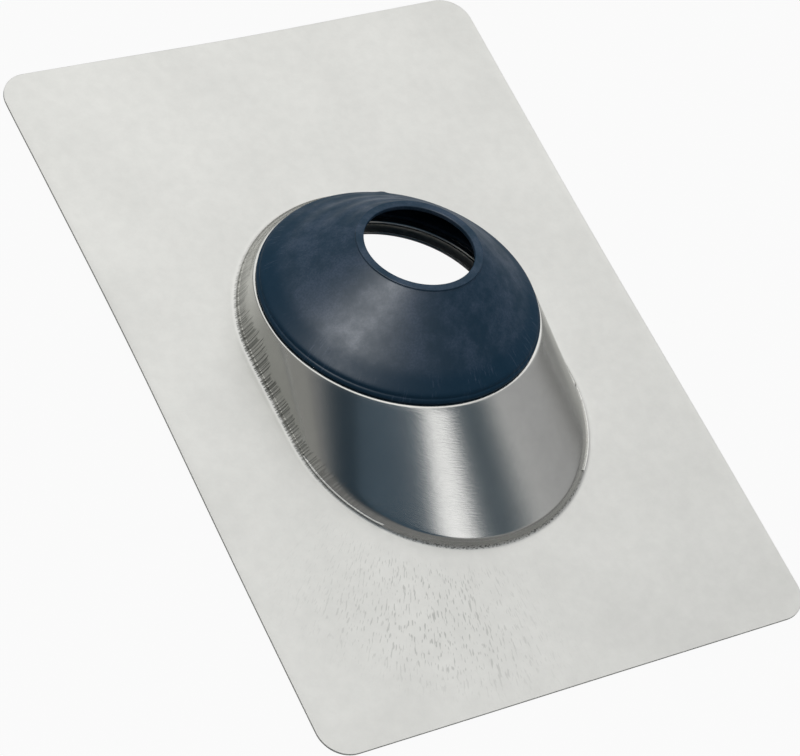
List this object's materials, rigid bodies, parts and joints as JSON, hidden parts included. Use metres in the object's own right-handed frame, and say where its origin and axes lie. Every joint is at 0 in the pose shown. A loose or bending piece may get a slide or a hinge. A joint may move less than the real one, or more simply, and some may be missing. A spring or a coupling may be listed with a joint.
{
  "type": "pipe flashing boot",
  "caption": "Flat aluminium roof flashing with an oblique drawn hood and a conical rubber collar that grips a small vent pipe.",
  "frame": {"origin": "middle of the sheet's underside, on the roof surface", "axes": "+Z normal to the sheet and out of the roof, +Y up the roof slope along the sheet's length, +X across the sheet"},
  "size_m": [0.2286, 0.3288, 0.05],
  "materials": {
    "aluminium": "satin mill finish, drawn",
    "rubber": "matt moulded"
  },
  "bodies": {
    "root": {"flashing": "aluminium", "collar": "rubber"}
  },
  "joints": []
}
